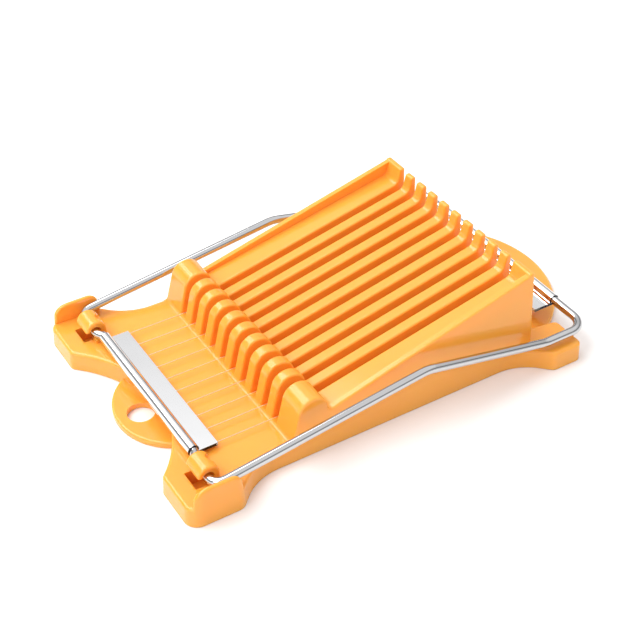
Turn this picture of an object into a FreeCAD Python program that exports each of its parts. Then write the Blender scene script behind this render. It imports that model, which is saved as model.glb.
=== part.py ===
import FreeCAD
import Part
import Sketcher
import math
import os

# Wire slicer for eggs and blocks of luncheon meat.
# One moulded base carries a sloping slotted bed; a hinged wire bail with two folded
# strips stretches five hairpin cutting wires, one wire for each of the ten slots.
# Lengths are millimetres. X runs from the hinge end to the handle end, Y across, Z up.
# While it is built, X is counted from the hinge end; each piece is then moved back by half
# the overall length, so that the origin is the bottom centre of the whole object.

V = FreeCAD.Vector
X_AXIS = V(1, 0, 0)
Y_AXIS = V(0, 1, 0)
Z_AXIS = V(0, 0, 1)

DIMENSIONS = {
    "overall_length": 221.2,       # feet at the hinge end to the tip of the tongue
    "draft": 3.0,                  # moulding draft of the skirt and the side walls, degrees
    "end_draft": 0.8,              # the same for the end face of the rack
    "wall": 2.4,                   # skirt and floor thickness
    "floor_top": 9.0,              # level of the floor and of the feet
    "foot_half_width": 68.8,
    "hinge_foot_length": 23.7,
    "handle_foot_start": 180.0,
    "foot_end": 195.8,
    "foot_inner_half": 49.6,       # inner side of the handle-end feet
    "side_half_width": 57.1,
    "flare_radius": 25.0,
    "scoop_radius": 59.0,          # hollow between the hinge-end feet
    "scoop_corner": 46.4,          # where the tangents of that hollow cross
    "hinge_foot_inner": 44.0,
    "plate_thick": 2.8,            # hanging tab and tongue
    "tab_centre": 29.7,
    "tab_radius": 28.1,
    "hang_hole_centre": 12.3,
    "hang_hole_radius": 6.0,
    "tongue_centre": 169.0,
    "tongue_radius": 52.2,
    "slot_count": 10,
    "slot_pitch": 9.0,
    "slot_width": 3.8,
    "slot_floor": 9.8,             # a low step up from the floor along the foot of the humps
    "hump_foot": 53.4,
    "hump_front": 56.5,
    "rack_corner_half": 46.8,      # where the end face of the rack meets the feet
    "rack_end": 175.9,             # at the table; the drafts lean it inwards
    "hump_radius": 7.0,
    "hump_fillet": 1.6,            # along the foot of the humps
    "hump_top": 28.3,
    "bed_low": 17.13,              # bed height where the humps end
    "bed_high": 39.2,               # bed height where the posts start
    "rim_low": 19.1,                # side rim height at the same two places
    "rim_high": 45.3,
    "post_start": 170.7,
    "post_lean": 1.6,              # how much thinner a post is at its top
    "bed_fillet": 3.2,             # at both ends of the bed
    "post_tip": 1.2,
    "end_tip": 0.9,
    "post_top": 46.4,
    "rim_thick": 2.7,
    "core_width": 2.0,             # hollow inside each rib
    "core_start": 4.0,             # height of the open lower end of those hollows
    "core_round": 4.5,
    "end_core_width": 7.0,
    "ear_start": 2.0,
    "ear_top_end": 23.4,
    "ear_end": 25.9,               # at the lower edge of the ear
    "ear_front_round": 7.5,
    "ear_back_round": 5.0,
    "ear_inner": 65.8,
    "ear_top": 17.7,
    "rod_radius": 2.0,
    "axle_x": 14.1,
    "axle_height": 12.9,
    "strip_x": 16.1,               # the rod is cranked between its hooks and the strip
    "handle_x": 200.3,
    "arm_y": 63.3,
    "bend_x": 114.0,
    "bend_height": 26.6,
    "knee_x": 178.0,
    "axle_bend": 5.0,
    "arm_bend": 18.0,
    "knee_bend": 15.0,
    "handle_bend": 8.0,
    "crank_bend": 3.5,
    "crank_length": 3.7,
    "rod_end_gap": 0.2,            # half the gap between the rod's two ends
    "running_gap": 0.08,           # axle to its hooks and rests, on the radius
    "hook_radius": 4.9,
    "hook_start": 46.8,
    "hook_length": 11.2,
    "hook_forward": 0.5,           # hook's centre from the axle's, towards the handle
    "hook_raise": 0.2,
    "waist_radius": 2.6,           # round scallop in the hook's upper handle-side face
    "waist_depth": 1.6,
    "waist_angle": 42.0,           # of the scallop round the hook, up from level
    "waist_offset": 4.7,           # from the hook's inner end
    "window_start": 8.5,           # blind window beside each hook, where its core pulls out
    "window_inner": 47.4,
    "window_length": 10.4,
    "window_floor": 1.6,
    "window_wall": 1.6,
    "strip_length": 83.2,
    "sheet_thick": 0.5,
    "wrap_gap": 0.06,              # rod to the sheet folded round it
    "leaf_gap": 0.5,
    "hinge_leaf": 11.0,            # from the rod to the edge of the leaves
    "handle_leaf": 10.8,
    "wire_radius": 0.2,
    "link_bend": 1.2,              # corners of a wire's link in the hinge strip
    "edge_round": 0.9,
    "floor_round": 1.4,
    "plate_round": 1.0,
    "hook_round": 1.1,
    "ear_round": 1.1,
}

doc = FreeCAD.newDocument("wire_slicer")
sheet = doc.addObject("Spreadsheet::Sheet", "dims")
for row, (alias, value) in enumerate(DIMENSIONS.items(), start=1):
    sheet.set(f"A{row}", alias)
    sheet.set(f"B{row}", str(value))
    sheet.setAlias(f"B{row}", alias)
doc.recompute()


def dim(alias):
    """A driving dimension, read from the sheet."""
    return float(sheet.get(alias))


def expression(text):
    """The text with every dimension's name made a reference to its cell."""
    words = []
    for word in text.replace("(", "( ").replace(")", " )").split():
        words.append("dims." + word if word in DIMENSIONS else word)
    return " ".join(words)


def bind(obj, **bindings):
    """Bind properties to expressions; x, y and z stand for the placement's base."""
    for name, text in bindings.items():
        path = f".Placement.Base.{name}" if name in ("x", "y", "z") else name
        obj.setExpression(path, expression(text))
    return obj


def add(kind, name, **bindings):
    return bind(doc.addObject(kind, name), **bindings)


def box(name, x, y, z, length, width, height):
    return add("Part::Box", name, x=x, y=y, z=z, Length=length, Width=width, Height=height)


def cylinder_along_y(name, x, y, z, radius, length):
    tube = add("Part::Cylinder", name, x=x, y=y, z=z, Radius=radius, Height=length)
    tube.Placement.Rotation = FreeCAD.Rotation(X_AXIS, -90)
    return tube


def fuse(name, shapes):
    result = doc.addObject("Part::MultiFuse", name)
    result.Shapes = shapes
    return result


def common(name, first, second):
    result = doc.addObject("Part::MultiCommon", name)
    result.Shapes = [first, second]
    return result


def cut(name, base, tool):
    result = doc.addObject("Part::Cut", name)
    result.Base = base
    result.Tool = tool
    return result


def rounded_path(corners, closed=True):
    """Lines and arcs through corners given as (point, radius), each corner rounded."""
    count = len(corners)
    marks = []
    for index, (point, radius) in enumerate(corners):
        is_end = not closed and index in (0, count - 1)
        if radius == 0 or is_end:
            marks.append((point, None, point))
            continue
        before = (point - corners[index - 1][0]).normalize()
        after = (corners[(index + 1) % count][0] - point).normalize()
        half_turn = before.getAngle(after) / 2
        reach = radius * math.tan(half_turn)
        inward = (after - before).normalize()
        middle = point + inward * (radius / math.cos(half_turn) - radius)
        marks.append((point - before * reach, middle, point + after * reach))
    pieces = []
    for index, (start, middle, end) in enumerate(marks):
        if middle is not None:
            pieces.append(Part.Arc(start, middle, end))
        if index + 1 < count or closed:
            next_start = marks[(index + 1) % count][0]
            if end.distanceToPoint(next_start) > 1e-6:
                pieces.append(Part.LineSegment(end, next_start))
    return pieces


PLANES = {
    "XY": FreeCAD.Rotation(),
    "XZ": FreeCAD.Rotation(X_AXIS, 90),
}


def profile(name, plane, corners):
    """A sketch of a rounded outline; corners are (across, up, radius) in its plane."""
    sketch = doc.addObject("Sketcher::SketchObject", name)
    sketch.Placement = FreeCAD.Placement(V(), PLANES[plane])
    points = [(V(across, up, 0), radius) for across, up, radius in corners]
    sketch.addGeometry(rounded_path(points))
    return sketch


def extrusion(name, sketch, direction, length, symmetric=False, taper="0"):
    solid = add("Part::Extrusion", name, LengthFwd=length, TaperAngle=taper)
    solid.Base = sketch
    solid.DirMode = "Custom"
    solid.Dir = direction
    solid.Solid = True
    solid.Symmetric = symmetric
    return solid


def mirrored_pair(name, source):
    """The source and its mirror image across the centre plane."""
    mirror = doc.addObject("Part::Mirroring", name + "_mirror")
    mirror.Source = source
    mirror.Normal = Y_AXIS
    return [source, mirror]


def edges_where(obj, test, radius):
    """Fillet entries (edge number, radius, radius) for the edges that pass the test."""
    found = []
    for number, edge in enumerate(obj.Shape.Edges, start=1):
        if test(edge):
            found.append((number, radius, radius))
    return found


def fillet(name, base, test, radius):
    """Round the edges of base that pass the test."""
    doc.recompute()
    rounded = doc.addObject("Part::Fillet", name)
    rounded.Base = base
    rounded.Edges = edges_where(base, test, radius)
    return rounded


# ---------------------------------------------------------------- moulded base


def base_outline():
    """Plan of the skirt at the table: four flared feet and a scoop between two of them."""
    side = dim("side_half_width")
    foot = dim("foot_half_width")
    flare = foot - side
    flare_radius = dim("flare_radius")
    hinge_foot = dim("hinge_foot_length")
    handle_foot = dim("handle_foot_start")
    foot_end = dim("foot_end")
    half = [
        (0, dim("hinge_foot_inner"), 3.5),
        (0, foot, 6),
        (hinge_foot, foot, 5),
        (hinge_foot + flare, side, flare_radius),
        (handle_foot - flare, side, flare_radius),
        (handle_foot, foot, 4),
        (foot_end, foot, 3.5),
        (foot_end, dim("foot_inner_half"), 3),
        (dim("rack_end"), dim("rack_corner_half"), 1.5),
    ]
    scoop = [(dim("scoop_corner"), 0, dim("scoop_radius"))]
    other_half = [(x, -y, radius) for x, y, radius in reversed(half)]
    return scoop + half + other_half


def inset(corners, distance):
    """The outline moved inwards; outer corners get tighter and inner ones wider."""
    moved = []
    count = len(corners)
    for index, (x, y, radius) in enumerate(corners):
        here = V(x, y, 0)
        before = (here - V(*corners[index - 1][:2], 0)).normalize()
        after = (V(*corners[(index + 1) % count][:2], 0) - here).normalize()
        turn = before.x * after.y - before.y * after.x
        bisector = (V(-before.y, before.x, 0) + V(-after.y, after.x, 0)).normalize()
        side = 1 if signed_area(corners) > 0 else -1
        reach = distance / math.cos(before.getAngle(after) / 2)
        point = here + bisector * (reach * side)
        change = -distance if turn * side > 0 else distance
        moved.append((point.x, point.y, max(radius + change, 0.5)))
    return moved


def signed_area(corners):
    """Twice the area of the polygon, positive when it runs anticlockwise."""
    total = 0
    for index, (x, y, _) in enumerate(corners):
        total += corners[index - 1][0] * y - x * corners[index - 1][1]
    return total


def post_end(height):
    """X of the end face at a height: the skirt's draft to the floor, a smaller one above."""
    skirt = min(height, dim("floor_top")) * math.tan(math.radians(dim("draft")))
    rack = max(height - dim("floor_top"), 0) * math.tan(math.radians(dim("end_draft")))
    return dim("rack_end") - skirt - rack


def hump_profile(rest):
    """Side view of the hump, its front leaning from its foot, and the given corners after."""
    radius = dim("hump_radius")
    floor = dim("floor_top")
    bottom = floor - dim("wall")
    top = dim("hump_top")
    foot = dim("hump_foot")
    middle = V(dim("hump_front") + radius - foot, top - radius - floor, 0)
    lean = math.atan2(middle.y, middle.x) + math.asin(radius / middle.Length)
    front_top = foot + (top - floor) / math.tan(lean)
    corners = [
        (foot - 1.5, bottom, 0),
        (foot - 1.5, floor, 0),
        (foot, floor, dim("hump_fillet")),
        (front_top, top, radius),
        (dim("hump_front") + 2 * radius, top, radius),
    ]
    return corners + rest + [(post_end(bottom), bottom, 0)]


def bed_profile(tip="post_tip"):
    """Side view of a rib: hump, sloping bed and upright post."""
    hump_end = dim("hump_front") + 2 * dim("hump_radius")
    top = dim("post_top")
    return hump_profile([
        (hump_end, dim("bed_low"), dim("bed_fillet")),
        (dim("post_start"), dim("bed_high"), dim("bed_fillet")),
        (dim("post_start") + dim("post_lean"), top, dim(tip)),
        (post_end(top), top, dim(tip)),
    ])


def rim_profile():
    """Side view of an outer wall, whose rim runs straight from the hump to the post."""
    hump_end = dim("hump_front") + 2 * dim("hump_radius")
    top = dim("post_top")
    slope = (dim("rim_high") - dim("rim_low")) / (dim("post_start") - hump_end)
    end_height = dim("rim_high") + slope * (post_end(top) - dim("post_start"))
    return hump_profile([
        (hump_end, dim("rim_low"), 1.7),
        (post_end(top), end_height, dim("end_tip")),
    ])


def core_profile():
    """Side view of the hollow under a rib, about one wall thickness inside it."""
    wall = dim("wall")
    start = dim("hump_front") + wall
    hump_end = dim("hump_front") + 2 * dim("hump_radius") - wall
    low = dim("bed_low") - 1.2 * wall
    end = dim("rack_end") - 3 * wall
    rise = dim("bed_high") - dim("bed_low")
    slope = rise / (dim("post_start") - dim("hump_front") - 2 * dim("hump_radius"))
    bottom = dim("core_start")
    top = dim("hump_top") - wall
    return [
        (start, bottom, 0),
        (start, top, dim("core_round")),
        (hump_end, top, dim("core_round")),
        (hump_end, low, 1),
        (end, low + slope * (end - hump_end), 1),
        (end, bottom, 0),
    ]


def ear_profile():
    """Side view of the raised outer wall of a hinge-end foot."""
    top = dim("ear_top")
    bottom = dim("floor_top") / 3
    return [
        (dim("ear_start"), bottom, 0),
        (dim("ear_start"), top, dim("ear_front_round")),
        (dim("ear_top_end"), top, dim("ear_back_round")),
        (dim("ear_end"), bottom, 0),
    ]


def is_ear_edge(edge, outside):
    """True for the edges along the top of an ear on its outer or its inner side."""
    size = edge.BoundBox
    is_inner = size.YMax < dim("ear_inner") + 0.01
    if outside:
        return size.ZMax > dim("floor_top") and not is_inner
    past_front = size.XMax > dim("ear_start") + dim("ear_front_round") / 2
    return is_inner and size.ZMax > dim("axle_height") and past_front


def plate(name, centre, radius):
    """A thin round plate at the table with a soft top edge."""
    disc = add("Part::Cylinder", name + "_disc", x=centre, Radius=radius,
               Height="plate_thick")
    return fillet(name, disc, lambda edge: above(edge, dim("plate_thick")),
                  dim("plate_round"))


def above(edge, height):
    return edge.BoundBox.ZMin > height - 0.01


def side_wedge(name, half_width):
    """A block over the rack whose two sides lean inwards by the draft."""
    block = add("Part::Wedge", name, Xmin="hump_front - 5", X2min="hump_front - 5",
                Xmax="rack_end + 5", X2max="rack_end + 5",
                Zmin=f"0 - ( {half_width} )", Zmax=half_width,
                Z2min=f"0 - ( {half_width} ) + 50 * tan( draft * 1 deg )",
                Z2max=f"{half_width} - 50 * tan( draft * 1 deg )",
                Ymin="0", Ymax="50")
    block.Placement.Rotation = FreeCAD.Rotation(X_AXIS, 90)
    return block


def make_rib(number, y):
    """One rib of the bed, soft along both of its sides."""
    name = f"rib_{number}"
    side = profile(name + "_side", "XZ", bed_profile())
    block = extrusion(name + "_block", side, Y_AXIS, "slot_pitch - slot_width", symmetric=True)
    block.Placement.Base = V(0, y, 0)

    def is_side_edge(edge):
        extent = edge.BoundBox
        return extent.YLength < 0.01 and extent.ZMax > dim("floor_top") + 0.1

    return fillet(name, block, is_side_edge, dim("edge_round"))


def make_end_blocks():
    """The two outer walls with their half ribs beside the outermost slots."""
    inner = dim("slot_pitch") * dim("slot_count") / 2 - (dim("slot_pitch") - dim("slot_width")) / 2
    bed = extrusion("end_bed", profile("end_bed_side", "XZ", bed_profile("end_tip")), Y_AXIS, "20")
    rim = extrusion("end_rim", profile("end_rim_side", "XZ", rim_profile()), Y_AXIS, "20")
    for solid in (bed, rim):
        solid.Placement.Base = V(0, inner, 0)
    rim_wall = cut("rim_wall", rim, side_wedge("inner_wedge", "side_half_width - rim_thick"))
    block = common("end_drafted", fuse("end_raw", [bed, rim_wall]),
                   side_wedge("outer_wedge", "side_half_width"))
    block.Refine = True

    def is_soft(edge):
        extent = edge.BoundBox
        lean = math.tan(math.radians(dim("draft")))
        outer = dim("side_half_width") - extent.Center.z * lean
        on_slot_side = extent.YMax < inner + 0.01
        on_outer_side = extent.YMin > outer - 0.9 and extent.YLength < 2
        is_high = extent.ZMax > dim("floor_top") + 0.1
        is_long = extent.XLength + extent.ZLength > 0.05
        return is_high and is_long and (on_slot_side or on_outer_side)

    soft = fillet("end_block", block, is_soft, dim("edge_round"))
    return mirrored_pair("end_block", soft)


def make_hooks():
    """Hooks over the axle and the rests under it, and what is cut from the base for them."""
    bore = "rod_radius + running_gap"
    hook = cylinder_along_y("hook_barrel", "axle_x + hook_forward", "hook_start",
                            "axle_height + hook_raise", "hook_radius", "hook_length")
    leg = box("hook_leg", "axle_x", "hook_start", "floor_top - 1",
              "hook_radius + hook_forward", "hook_length",
              "axle_height - floor_top + 1 + hook_raise")
    below = box("under_hook", "axle_x - 10", "hook_start - 1", "0", "10", "hook_length + 2",
                "axle_height + 0.7")
    below_front = box("under_hook_leg", "axle_x", "hook_start - 1", "0",
                      bore, "hook_length + 2", "axle_height")
    solid = cut("hook_solid", fuse("hook_raw", [hook, leg]),
                fuse("hook_under", [below, below_front]))

    def is_outer_edge(edge):
        size = edge.BoundBox
        return size.YLength < 0.01 and size.ZMax > dim("axle_height") + 3 and size.XLength > 5

    soft = fillet("hook_soft", solid, is_outer_edge, dim("hook_round"))
    reach = "( hook_radius + waist_radius - waist_depth )"
    waist = add("Part::Sphere", "hook_waist", Radius="waist_radius",
                x=f"axle_x + hook_forward + {reach} * cos( waist_angle * 1 deg )",
                y="hook_start + waist_offset",
                z=f"axle_height + hook_raise + {reach} * sin( waist_angle * 1 deg )")
    clip = cut("hook", soft, waist)
    rest = box("axle_rest", "axle_x - 1.2", "hook_start - 2.8", "floor_top - 1", "2.4", "3",
               "axle_height - rod_radius - running_gap - floor_top + 1")
    sleeve = box("window_sleeve", "window_start - window_wall", "window_inner - window_wall",
                 "0", "axle_x + rod_radius - window_start + 2 * window_wall",
                 "window_length + 2 * window_wall", "floor_top - 0.5")
    axle_bore = cylinder_along_y("axle_bore", "axle_x", "hook_start - 0.5", "axle_height",
                                 bore, "hook_length + 1")
    outer_mouth = add("Part::Cone", "outer_mouth", x="axle_x", z="axle_height",
                      y="hook_start + hook_length - 2", Height="2.1",
                      Radius1=bore, Radius2="rod_radius + 0.8")
    inner_mouth = add("Part::Cone", "inner_mouth", x="axle_x", z="axle_height",
                      y="hook_start - 0.1", Height="2.1",
                      Radius1="rod_radius + 0.8", Radius2=bore)
    for mouth in (outer_mouth, inner_mouth):
        mouth.Placement.Rotation = FreeCAD.Rotation(X_AXIS, -90)
    window = box("window", "window_start", "window_inner", "window_floor",
                 "axle_x + rod_radius + running_gap - window_start", "window_length", "10")
    added = []
    for piece in (clip, rest, sleeve):
        added += mirrored_pair(piece.Name, piece)
    removed = []
    for tool in (axle_bore, outer_mouth, inner_mouth, window):
        removed += mirrored_pair(tool.Name, tool)
    return added, removed


def make_base():
    outline = profile("outline", "XY", base_outline())
    floor_block = extrusion("floor_block", outline, Z_AXIS, "floor_top", taper="0 - draft")
    floor_soft = fillet("floor_soft", floor_block,
                        lambda edge: above(edge, dim("floor_top")), dim("floor_round"))
    tall = extrusion("tall_block", outline, Z_AXIS, "ear_top + 2", taper="0 - draft")
    ear_raw = extrusion("ear_raw", profile("ear_side", "XZ", ear_profile()), Y_AXIS, "10")
    bind(ear_raw, y="ear_inner")
    ear_block = common("ear_block", ear_raw, tall)
    ear_outer = fillet("ear_outer", ear_block, lambda edge: is_ear_edge(edge, True),
                       dim("ear_round"))
    ear = fillet("ear", ear_outer, lambda edge: is_ear_edge(edge, False), dim("edge_round"))
    tab = plate("tab", "tab_centre", "tab_radius")
    tongue = plate("tongue", "tongue_centre", "tongue_radius")
    slot_floor = common(
        "slot_step",
        extrusion("slot_step_block", profile("slot_step_side", "XZ", bed_profile()),
                  Y_AXIS, "slot_pitch * slot_count", symmetric=True),
        box("slot_step_limit", "0", "0 - foot_half_width", "0", "rack_end",
            "2 * foot_half_width", "slot_floor"),
    )
    pitch = dim("slot_pitch")
    rib_count = int(dim("slot_count")) - 1
    ribs = []
    cores = []
    for index in range(rib_count):
        y = (index - (rib_count - 1) / 2) * pitch
        ribs.append(make_rib(index + 1, y))
        core = extrusion(f"core_{index + 1}", profile(f"core_side_{index + 1}", "XZ",
                         core_profile()), Y_AXIS, "core_width", symmetric=True)
        core.Placement.Base = V(0, y, 0)
        cores.append(core)
    end_core = extrusion("end_core", profile("end_core_side", "XZ", core_profile()),
                         Y_AXIS, "end_core_width")
    end_core.Placement.Base = V(0, dim("slot_pitch") * dim("slot_count") / 2 - 0.4, 0)
    hooks, hook_cuts = make_hooks()

    cavity_outline = profile("cavity_outline", "XY", inset(base_outline(), dim("wall")))
    cavity = extrusion("cavity", cavity_outline, Z_AXIS, "floor_top - wall", taper="0 - draft")
    skirt = cut("skirt", fuse("moulding", [floor_soft, tab, tongue]), cavity)
    hang_hole = add("Part::Cylinder", "hang_hole", x="hang_hole_centre", z="0 - 1",
                    Radius="hang_hole_radius", Height="plate_thick + 2")
    solids = [skirt, slot_floor, *ribs, *make_end_blocks(), *mirrored_pair("ear", ear), *hooks]
    hollows = [hang_hole, *cores, *mirrored_pair("end_core", end_core), *hook_cuts]
    return cut("base", fuse("base_solid", solids), fuse("base_hollow", hollows))


# ---------------------------------------------------------------- bail, strips and wires


def swept_rod(name, corners, radius, normal):
    """A round rod along a path through (point, bend radius) corners."""
    route = doc.addObject("Part::Feature", name + "_route")
    edges = [piece.toShape() for piece in rounded_path(corners, closed=False)]
    route.Shape = Part.Wire(edges)
    section = add("Part::Circle", name + "_section", Radius=radius)
    section.Placement = FreeCAD.Placement(corners[0][0], FreeCAD.Rotation(Z_AXIS, normal))
    rod = doc.addObject("Part::Sweep", name)
    rod.Sections = [section]
    rod.Spine = (route, [f"Edge{number + 1}" for number in range(len(edges))])
    rod.Solid = True
    rod.Frenet = False
    return rod, route


def make_bail():
    """Axle, two cranked arms and handle bar in one rod; its ends meet inside the strip."""
    y = dim("arm_y")
    low = dim("axle_height")
    crank_end = dim("hook_start") - 0.6
    crank_start = crank_end - dim("crank_length")

    def arm(sign):
        return [
            (V(dim("axle_x"), sign * y, low), dim("axle_bend")),
            (V(dim("bend_x"), sign * y, dim("bend_height")), dim("arm_bend")),
            (V(dim("knee_x"), sign * y, low), dim("knee_bend")),
            (V(dim("handle_x"), sign * y, low), dim("handle_bend")),
        ]

    def crank(sign):
        return [
            (V(dim("strip_x"), sign * dim("rod_end_gap"), low), 0),
            (V(dim("strip_x"), sign * crank_start, low), dim("crank_bend")),
            (V(dim("axle_x"), sign * crank_end, low), dim("crank_bend")),
        ]

    corners = crank(1) + arm(1) + list(reversed(arm(-1))) + list(reversed(crank(-1)))
    return swept_rod("bail", corners, "rod_radius", Y_AXIS)


def leaf_level():
    """Height of the wires, between the two leaves at the foot of the fold."""
    return dim("axle_height") - dim("rod_radius") - dim("wrap_gap") + dim("leaf_gap") / 2


def strip_outline(rod_x, leaf):
    """Section of a sheet folded round a rod; both leaves run from the foot of the fold."""
    inner = dim("rod_radius") + dim("wrap_gap")
    outer = inner + dim("sheet_thick")
    upper_low = dim("leaf_gap") - inner
    upper_high = upper_low + dim("sheet_thick")
    reach = abs(leaf)
    toward = 1 if leaf > 0 else -1

    def at(across, up):
        return V(rod_x + toward * across, dim("axle_height") + up, 0)

    def on_circle(radius, up):
        return at(math.sqrt(radius ** 2 - up ** 2), up)

    return [
        Part.Arc(on_circle(inner, upper_low), at(-inner, 0), at(0, -inner)),
        Part.LineSegment(at(0, -inner), at(reach, -inner)),
        Part.LineSegment(at(reach, -inner), at(reach, -outer)),
        Part.LineSegment(at(reach, -outer), at(0, -outer)),
        Part.Arc(at(0, -outer), at(-outer, 0), on_circle(outer, upper_high)),
        Part.LineSegment(on_circle(outer, upper_high), at(reach, upper_high)),
        Part.LineSegment(at(reach, upper_high), at(reach, upper_low)),
        Part.LineSegment(at(reach, upper_low), on_circle(inner, upper_low)),
    ]


def make_strip(name, rod_x, leaf):
    body = doc.addObject("PartDesign::Body", name)
    sketch = body.newObject("Sketcher::SketchObject", name + "_section")
    plane = [item for item in body.Origin.OriginFeatures if item.Role == "XZ_Plane"][0]
    sketch.AttachmentSupport = (plane, [""])
    sketch.MapMode = "FlatFace"
    sketch.addGeometry(strip_outline(rod_x, leaf))
    doc.recompute()
    pad = body.newObject("PartDesign::Pad", name + "_pad")
    pad.Profile = sketch
    pad.Midplane = True
    bind(pad, Length="strip_length")
    doc.recompute()
    return body


def make_wire(number):
    """One hairpin: out through one slot, round its link in the hinge strip, and back."""
    middle = (3 - number) * 2 * dim("slot_pitch")
    half = dim("slot_pitch") / 2
    height = leaf_level()
    link = dim("strip_x") + dim("hinge_leaf") - dim("wire_radius") / 4
    end = dim("handle_x") - dim("handle_leaf") + 4
    corners = [
        (V(end, middle + half, height), 0),
        (V(link, middle + half, height), dim("link_bend")),
        (V(link, middle - half, height), dim("link_bend")),
        (V(end, middle - half, height), 0),
    ]
    return swept_rod(f"wire_{number}", corners, "wire_radius", -X_AXIS)


base = make_base()
bail, bail_route = make_bail()
hinge_strip = make_strip("hinge_strip", dim("strip_x"), dim("hinge_leaf"))
handle_strip = make_strip("handle_strip", dim("handle_x"), -dim("handle_leaf"))
wires = [make_wire(number) for number in range(1, 6)]
sub_parts = [base, bail, hinge_strip, handle_strip] + [wire for wire, _ in wires]
for part in sub_parts:
    part.Label = part.Name
    bind(part, x="0 - overall_length / 2")
doc.recompute()

for obj in doc.Objects:
    if "Invalid" in obj.State or "Error" in obj.State:
        raise RuntimeError(f"{obj.Name} did not build: {obj.State}")
for part in sub_parts:
    if part.Shape.isNull() or not part.Shape.isValid() or len(part.Shape.Solids) != 1:
        raise RuntimeError(f"{part.Label} is not one valid solid")
for rod, route, radius in [(bail, bail_route, dim("rod_radius"))] + [
        (wire, route, dim("wire_radius")) for wire, route in wires]:
    expected = math.pi * radius ** 2 * route.Shape.Length
    if abs(rod.Shape.Volume / expected - 1) > 0.01:
        raise RuntimeError(f"{rod.Label} has the wrong volume")

os.makedirs("parts", exist_ok=True)
for part in sub_parts:
    part.Shape.exportStep(f"parts/{part.Label}.step")
    size = part.Shape.BoundBox
    print(part.Label, f"volume {part.Shape.Volume:.0f}",
          f"X {size.XMin:.1f} {size.XMax:.1f}", f"Y {size.YMin:.1f} {size.YMax:.1f}",
          f"Z {size.ZMin:.1f} {size.ZMax:.1f}")
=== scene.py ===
import math

import bpy
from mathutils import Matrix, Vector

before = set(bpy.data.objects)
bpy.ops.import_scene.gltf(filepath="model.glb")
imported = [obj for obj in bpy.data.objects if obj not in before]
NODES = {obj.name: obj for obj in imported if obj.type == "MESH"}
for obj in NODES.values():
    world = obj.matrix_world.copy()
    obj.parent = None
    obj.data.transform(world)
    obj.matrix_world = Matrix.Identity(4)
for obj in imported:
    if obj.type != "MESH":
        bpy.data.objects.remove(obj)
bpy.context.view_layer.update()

# Plastic, in sRGB from 0 to 255
PLASTIC_DEEP = (255, 163, 60)
PLASTIC_PALE = (255, 169, 68)

# Metals and paper, in linear light
ROD_COLOUR = (0.60, 0.60, 0.61)
SHEET_COLOUR = (0.93, 0.93, 0.94)
# painted shade: near black for the sheets' ends, standing in for the shadow there
SHEET_END_SHADE = (0.10, 0.10, 0.11)
WIRE_COLOUR = (0.90, 0.82, 0.58)
PAPER_COLOUR = (0.92, 0.92, 0.92, 1)
CLOUD_SHADE = 0.93  # how far the clouds in a steel darken it

# Studio, in metres, watts and degrees
FLOOR_HALF = 6.0
FLOOR_DROP = 0.0002  # keeps the paper just clear of the feet
LIGHT_TARGET = (0, 0, 0.02)
CAMERA_PLACE = (-0.25742, -0.39925, 0.39474)
CAMERA_TILT = 51.057
CAMERA_TURN = -31.856
LENS_MM = 76.73
SENSOR_MM = 36

# Brightness of the studio by height, from straight down at 0 to straight up at 1
STUDIO_RAMP = ((0.0, 0.14), (0.06, 0.03), (0.39, 0.05), (0.52, 0.72), (0.62, 0.78),
               (0.71, 1.12), (1.0, 1.1))


# ---------------------------------------------------------------- material helpers


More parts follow.
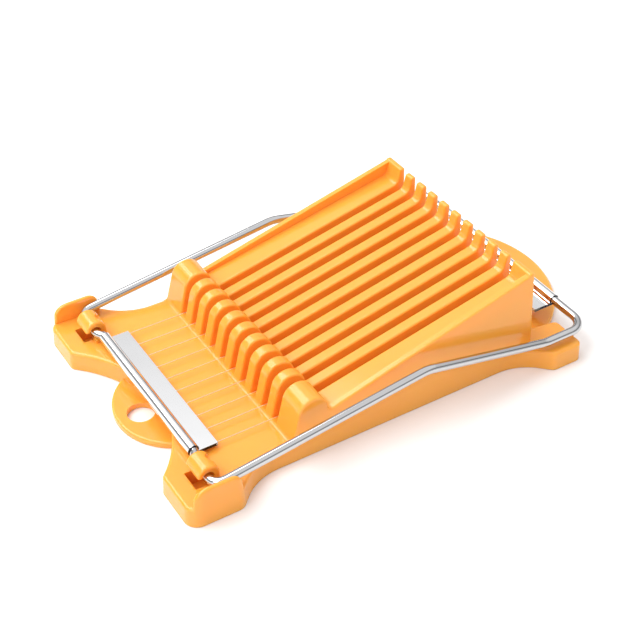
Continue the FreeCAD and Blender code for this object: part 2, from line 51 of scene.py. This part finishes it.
class Shader:
    """A node tree with short calls for the nodes that the materials here use."""

    def __init__(self, name):
        self.material = bpy.data.materials.new(name)
        self.material.use_nodes = True
        self.tree = self.material.node_tree
        self.surface = self.tree.nodes["Principled BSDF"]
        self.coords = self.tree.nodes.new("ShaderNodeTexCoord").outputs["Object"]

    def set(self, **values):
        """Set sockets of the surface; an underscore in a name stands for a space."""
        for name, value in values.items():
            self.surface.inputs[name.replace("_", " ")].default_value = value

    def join(self, source, target):
        self.tree.links.new(source, target)

    def stretched(self, scale):
        """Object coordinates scaled unevenly, for grain that runs one way."""
        node = self.tree.nodes.new("ShaderNodeMapping")
        node.inputs["Scale"].default_value = scale
        self.join(self.coords, node.inputs["Vector"])
        return node.outputs["Vector"]

    def noise(self, scale, detail, coords=None):
        node = self.tree.nodes.new("ShaderNodeTexNoise")
        node.inputs["Scale"].default_value = scale
        node.inputs["Detail"].default_value = detail
        self.join(coords or self.coords, node.inputs["Vector"])
        return node.outputs["Fac"]

    def remap(self, value, low, high, to_low, to_high):
        """Map the range from low to high onto the range from to_low to to_high."""
        node = self.tree.nodes.new("ShaderNodeMapRange")
        node.inputs["From Min"].default_value = low
        node.inputs["From Max"].default_value = high
        node.inputs["To Min"].default_value = to_low
        node.inputs["To Max"].default_value = to_high
        self.join(value, node.inputs["Value"])
        return node.outputs["Result"]

    def mix(self, factor, first, second):
        """Blend two colours, each a tuple or the output of a node."""
        node = self.tree.nodes.new("ShaderNodeMix")
        node.data_type = "RGBA"
        for socket, colour in ((node.inputs["A"], first), (node.inputs["B"], second)):
            if isinstance(colour, tuple):
                socket.default_value = (*colour, 1)
            else:
                self.join(colour, socket)
        self.join(factor, node.inputs["Factor"])
        return node.outputs["Result"]

    def facing_y(self):
        """One on flat faces that look along the object's Y axis, zero elsewhere."""
        split = self.tree.nodes.new("ShaderNodeSeparateXYZ")
        size = self.tree.nodes.new("ShaderNodeMath")
        size.operation = "ABSOLUTE"
        normal = self.coords.node.outputs["Normal"]
        self.join(normal, split.inputs["Vector"])
        self.join(split.outputs["Y"], size.inputs[0])
        return self.remap(size.outputs["Value"], low=0.96, high=0.99,
                          to_low=0, to_high=1)

    def bump(self, height, distance, strength, under=None):
        """Relief of a depth in metres, over another relief where one is given."""
        node = self.tree.nodes.new("ShaderNodeBump")
        node.inputs["Distance"].default_value = distance
        node.inputs["Strength"].default_value = strength
        self.join(height, node.inputs["Height"])
        if under is not None:
            self.join(under, node.inputs["Normal"])
        return node.outputs["Normal"]

    def finish(self, colour, roughness, normal):
        """Join the surface's varying inputs and give the finished material."""
        self.join(colour, self.surface.inputs["Base Color"])
        self.join(roughness, self.surface.inputs["Roughness"])
        self.join(normal, self.surface.inputs["Normal"])
        return self.material


def linear(red, green, blue):
    """An sRGB colour, 0 to 255, as linear light."""
    def channel(value):
        value /= 255
        return value / 12.92 if value <= 0.04045 else ((value + 0.055) / 1.055) ** 2.4
    return tuple(channel(value) for value in (red, green, blue))


def glossy_plastic():
    """Moulded ABS: faint melt ripple, fine haze scratches, slight colour drift."""
    shader = Shader("glossy_plastic")
    shader.set(IOR=1.56, Subsurface_Weight=0.45, Subsurface_Scale=0.006,
               Subsurface_Radius=(1.0, 0.6, 0.15))
    drift = shader.remap(shader.noise(scale=14, detail=3), low=0.35, high=0.65,
                         to_low=0, to_high=1)
    colour = shader.mix(drift, linear(*PLASTIC_DEEP), linear(*PLASTIC_PALE))
    scratches = shader.noise(scale=900, detail=4, coords=shader.stretched((0.25, 1, 1)))
    patches = shader.noise(scale=45, detail=4)
    roughness = shader.remap(patches, low=0.3, high=0.7, to_low=0.09, to_high=0.15)
    waves = shader.noise(scale=60, detail=2)
    ripple = shader.bump(waves, distance=0.0006, strength=0.10)
    haze = shader.bump(scratches, distance=0.00004, strength=0.35, under=ripple)
    return shader.finish(colour, roughness, haze)


def polished_steel(name, grain, colour, smooth, rough, paint_end_shade=False):
    """Stainless steel with drawn or rolled streaks along the grain's small scale.

    Its roughness runs from smooth to rough. Where asked, faces that look along Y
    get a painted shade, near black, for the shadow in a sheet's open ends.
    """
    shader = Shader(name)
    shader.set(Metallic=1.0)
    streaks = shader.noise(scale=600, detail=5, coords=shader.stretched(grain))
    clouds = shader.noise(scale=80, detail=3)
    tone = shader.mix(clouds, tuple(CLOUD_SHADE * part for part in colour), colour)
    if paint_end_shade:
        # painted shade: faces along Y turn near black, for the shadow in the sheet ends
        tone = shader.mix(shader.facing_y(), tone, SHEET_END_SHADE)
    roughness = shader.remap(streaks, low=0.3, high=0.7, to_low=smooth, to_high=rough)
    normal = shader.bump(streaks, distance=0.00002, strength=0.3)
    return shader.finish(tone, roughness, normal)


def dress(node, material):
    """Give a CAD node its finish."""
    obj = NODES[node]
    obj.data.materials.clear()
    obj.data.materials.append(material)
    for polygon in obj.data.polygons:
        polygon.material_index = 0


# ---------------------------------------------------------------- finishes

dress("base", glossy_plastic())
dress("bail", polished_steel("polished_rod", grain=(0.05, 1, 1), colour=ROD_COLOUR,
                             smooth=0.03, rough=0.08))
rolled = polished_steel("rolled_sheet", grain=(1, 0.04, 1), colour=SHEET_COLOUR,
                        smooth=0.06, rough=0.14, paint_end_shade=True)
for strip in ("hinge_strip", "handle_strip"):
    dress(strip, rolled)
drawn = polished_steel("drawn_wire", grain=(0.04, 1, 1), colour=WIRE_COLOUR,
                       smooth=0.22, rough=0.35)
for wire in [node for node in NODES if node.startswith("wire_")]:
    dress(wire, drawn)


# ---------------------------------------------------------------- studio


def area_light(name, location, size, power):
    """A soft rectangular light aimed at the object."""
    data = bpy.data.lights.new(name, "AREA")
    data.shape = "RECTANGLE"
    data.size, data.size_y = size
    data.energy = power
    light = bpy.data.objects.new(name, data)
    bpy.context.scene.collection.objects.link(light)
    light.location = location
    aim = Vector(LIGHT_TARGET) - Vector(location)
    light.rotation_euler = aim.to_track_quat("-Z", "Y").to_euler()


def make_floor():
    """A wide sheet of white paper under the feet."""
    mesh = bpy.data.meshes.new("floor")
    half = FLOOR_HALF
    corners = [(-half, -half, 0), (half, -half, 0), (half, half, 0), (-half, half, 0)]
    mesh.from_pydata(corners, [], [(0, 1, 2, 3)])
    floor = bpy.data.objects.new("floor", mesh)
    floor.location = (0, 0, -FLOOR_DROP)
    bpy.context.scene.collection.objects.link(floor)
    shader = Shader("paper")
    shader.set(Base_Color=PAPER_COLOUR, Roughness=0.9, Specular_IOR_Level=0.1)
    mesh.materials.append(shader.material)


def make_camera():
    """Looks down over the near hinge-end corner from about 0.6 m away."""
    data = bpy.data.cameras.new("camera")
    data.lens = LENS_MM
    data.sensor_width = SENSOR_MM
    camera = bpy.data.objects.new("camera", data)
    camera.location = CAMERA_PLACE
    camera.rotation_euler = (math.radians(CAMERA_TILT), 0, math.radians(CAMERA_TURN))
    bpy.context.scene.collection.objects.link(camera)
    bpy.context.scene.camera = camera


def make_world():
    """A studio dark round the horizon and bright overhead, for lines in the steel.

    Seen directly it is plain white, like the floor.
    """
    world = bpy.data.worlds.new("studio")
    bpy.context.scene.world = world
    world.use_nodes = True
    tree = world.node_tree
    coords = tree.nodes.new("ShaderNodeTexCoord")
    split = tree.nodes.new("ShaderNodeSeparateXYZ")
    ramp = tree.nodes.new("ShaderNodeValToRGB")
    for position, value in STUDIO_RAMP:
        if position in (0.0, 1.0):
            stop = ramp.color_ramp.elements[int(position)]
        else:
            stop = ramp.color_ramp.elements.new(position)
        stop.color = (value, value, value, 1)
    tree.links.new(coords.outputs["Generated"], split.inputs["Vector"])
    tree.links.new(split.outputs["Z"], ramp.inputs["Fac"])
    rays = tree.nodes.new("ShaderNodeLightPath")
    backdrop = tree.nodes.new("ShaderNodeMix")
    backdrop.data_type = "RGBA"
    backdrop.inputs["B"].default_value = (1, 1, 1, 1)
    tree.links.new(rays.outputs["Is Camera Ray"], backdrop.inputs["Factor"])
    tree.links.new(ramp.outputs["Color"], backdrop.inputs["A"])
    background = tree.nodes["Background"]
    background.inputs["Strength"].default_value = 1.0
    tree.links.new(backdrop.outputs["Result"], background.inputs["Color"])


make_floor()
make_camera()
make_world()
area_light("key", location=(-0.5, 0.5, 1.1), size=(1.4, 1.0), power=15.5)
area_light("side", location=(-1.0, -0.5, 0.7), size=(0.7, 0.7), power=3)
bpy.context.scene.view_settings.view_transform = "Standard"
